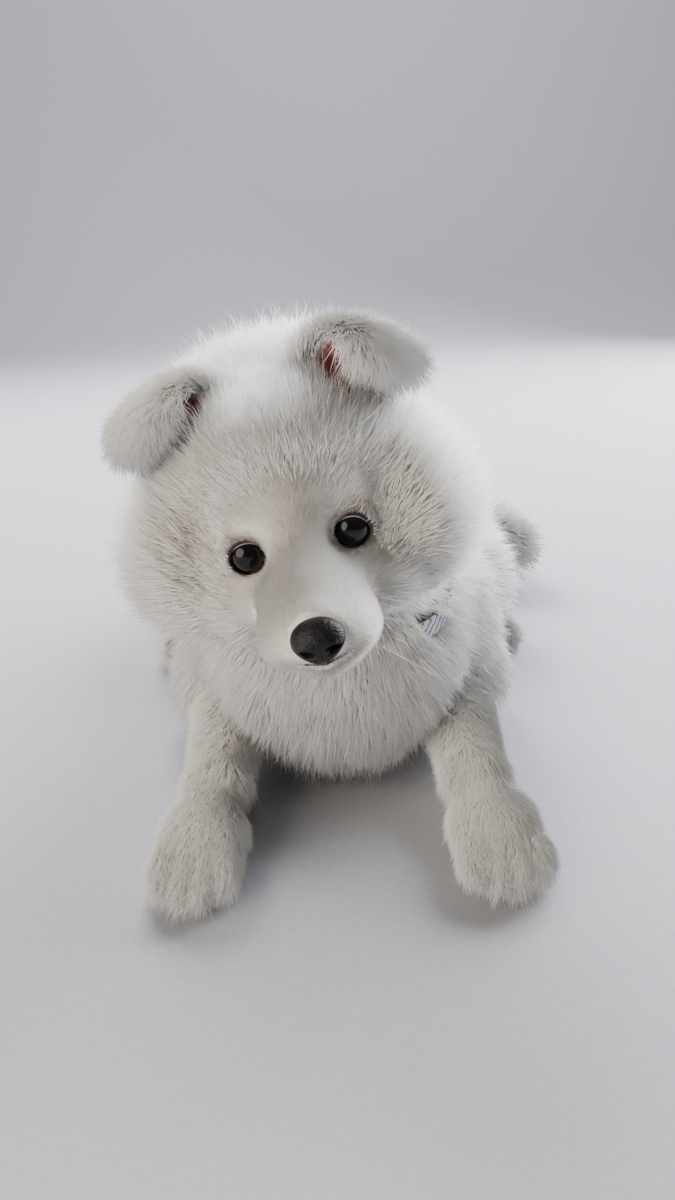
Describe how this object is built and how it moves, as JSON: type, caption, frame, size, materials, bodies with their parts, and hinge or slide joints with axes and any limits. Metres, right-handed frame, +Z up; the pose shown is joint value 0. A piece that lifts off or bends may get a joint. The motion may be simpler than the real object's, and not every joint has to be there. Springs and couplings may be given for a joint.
{
  "type": "samoyed puppy",
  "caption": "Still, life-size model of a fluffy white spitz puppy lying on its chest with its head up and tilted, in a thin woven collar.",
  "frame": {"origin": "on the floor, at the middle of the bounding box", "axes": "+Z up, the puppy faces -Y, its left side is +X"},
  "size_m": [0.2982, 0.5356, 0.2551],
  "materials": {
    "coat": "dense soft white double coat, warm cream in its depth",
    "eye": "very dark brown, wet gloss",
    "nose": "black, damp, finely pebbled",
    "webbing": "grey-purple woven webbing"
  },
  "bodies": {
    "root": {"head": "coat", "ear_left": "coat", "ear_right": "coat", "eye_left": "eye", "eye_right": "eye", "nose": "nose", "neck": "coat", "collar": "webbing", "torso": "coat", "foreleg_left": "coat", "foreleg_right": "coat", "thigh_left": "coat", "thigh_right": "coat", "foot_left": "coat", "foot_right": "coat", "tail_root": "coat", "tail_tip": "coat"}
  },
  "joints": []
}
